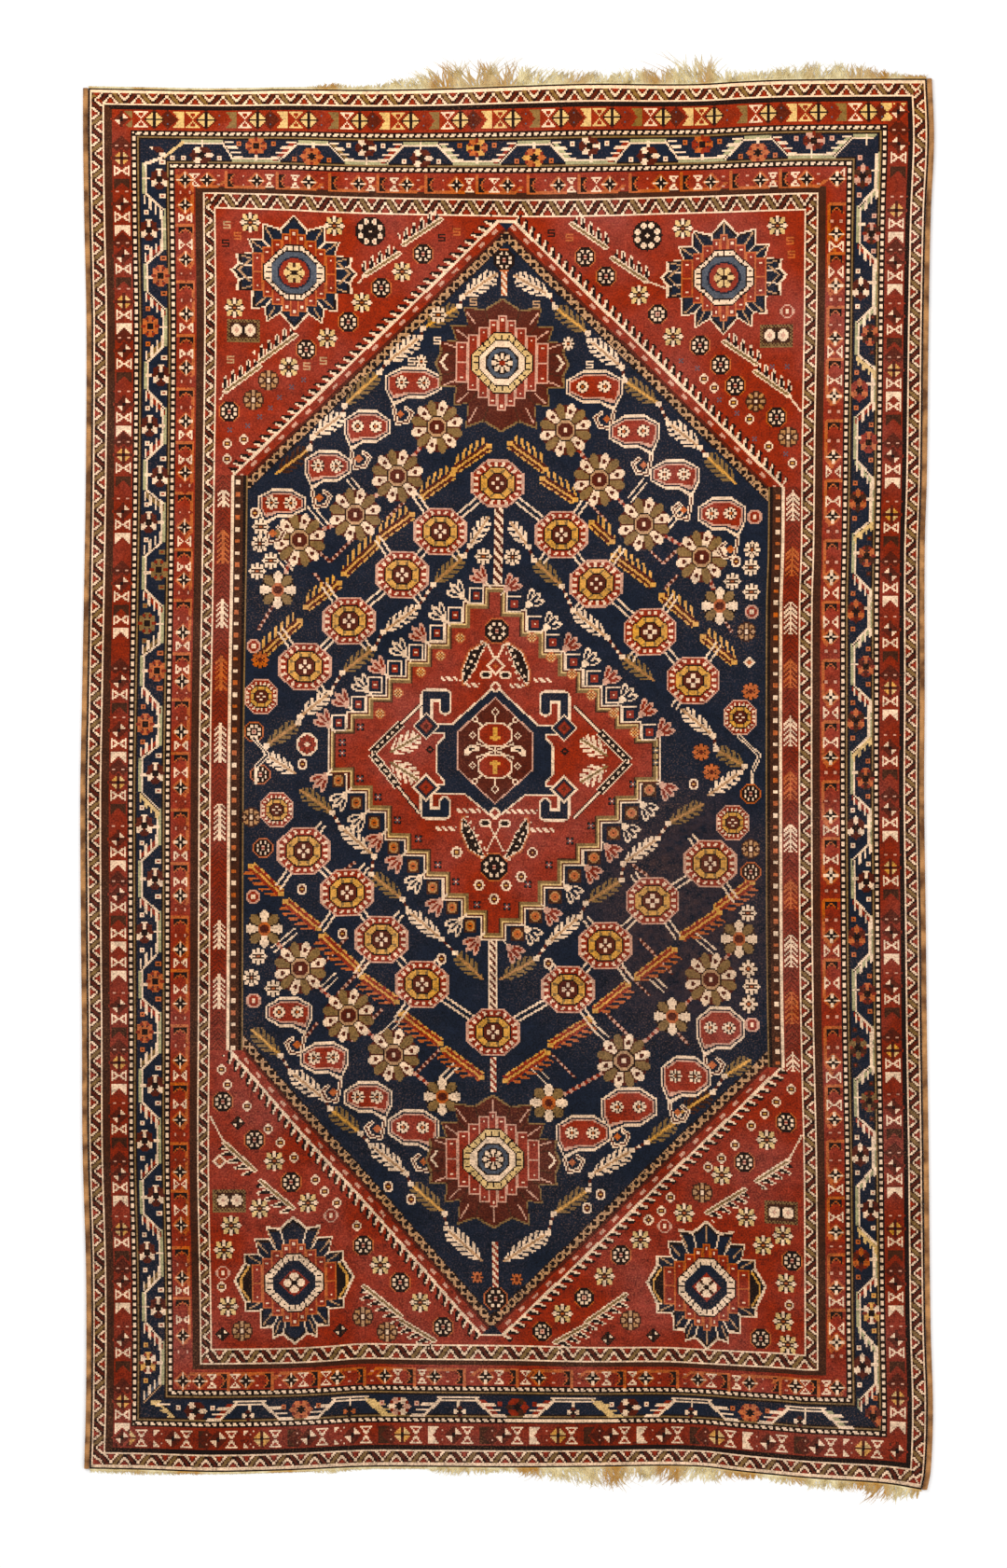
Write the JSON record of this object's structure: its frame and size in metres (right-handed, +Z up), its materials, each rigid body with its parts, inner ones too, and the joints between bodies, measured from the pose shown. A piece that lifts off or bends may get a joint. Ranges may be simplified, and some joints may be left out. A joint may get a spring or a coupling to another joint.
{
  "type": "kazak rug",
  "caption": "Hand-knotted wool rug lying flat: knotted pile with a central stepped medallion, overcast side cords and a worn fringe of warp ends at each end.",
  "frame": {"origin": "on the floor under the middle of the rug's outline, fringes counted", "axes": "+X to the right across the rug, +Y along the rug towards its upper end, +Z up out of the pile"},
  "size_m": [1.542, 2.602, 0.007],
  "materials": {
    "pile_wool": "worn knotted wool pile in brick red, navy, ivory, gold and brown",
    "side_cord_wool": "wrapped wool yarn in camel and dark brown",
    "warp_wool": "undyed twisted wool, frayed"
  },
  "bodies": {
    "root": {"pile": "pile_wool", "selvedge_left": "side_cord_wool", "selvedge_right": "side_cord_wool", "fringe_top": "warp_wool", "fringe_bottom": "warp_wool"}
  },
  "joints": []
}
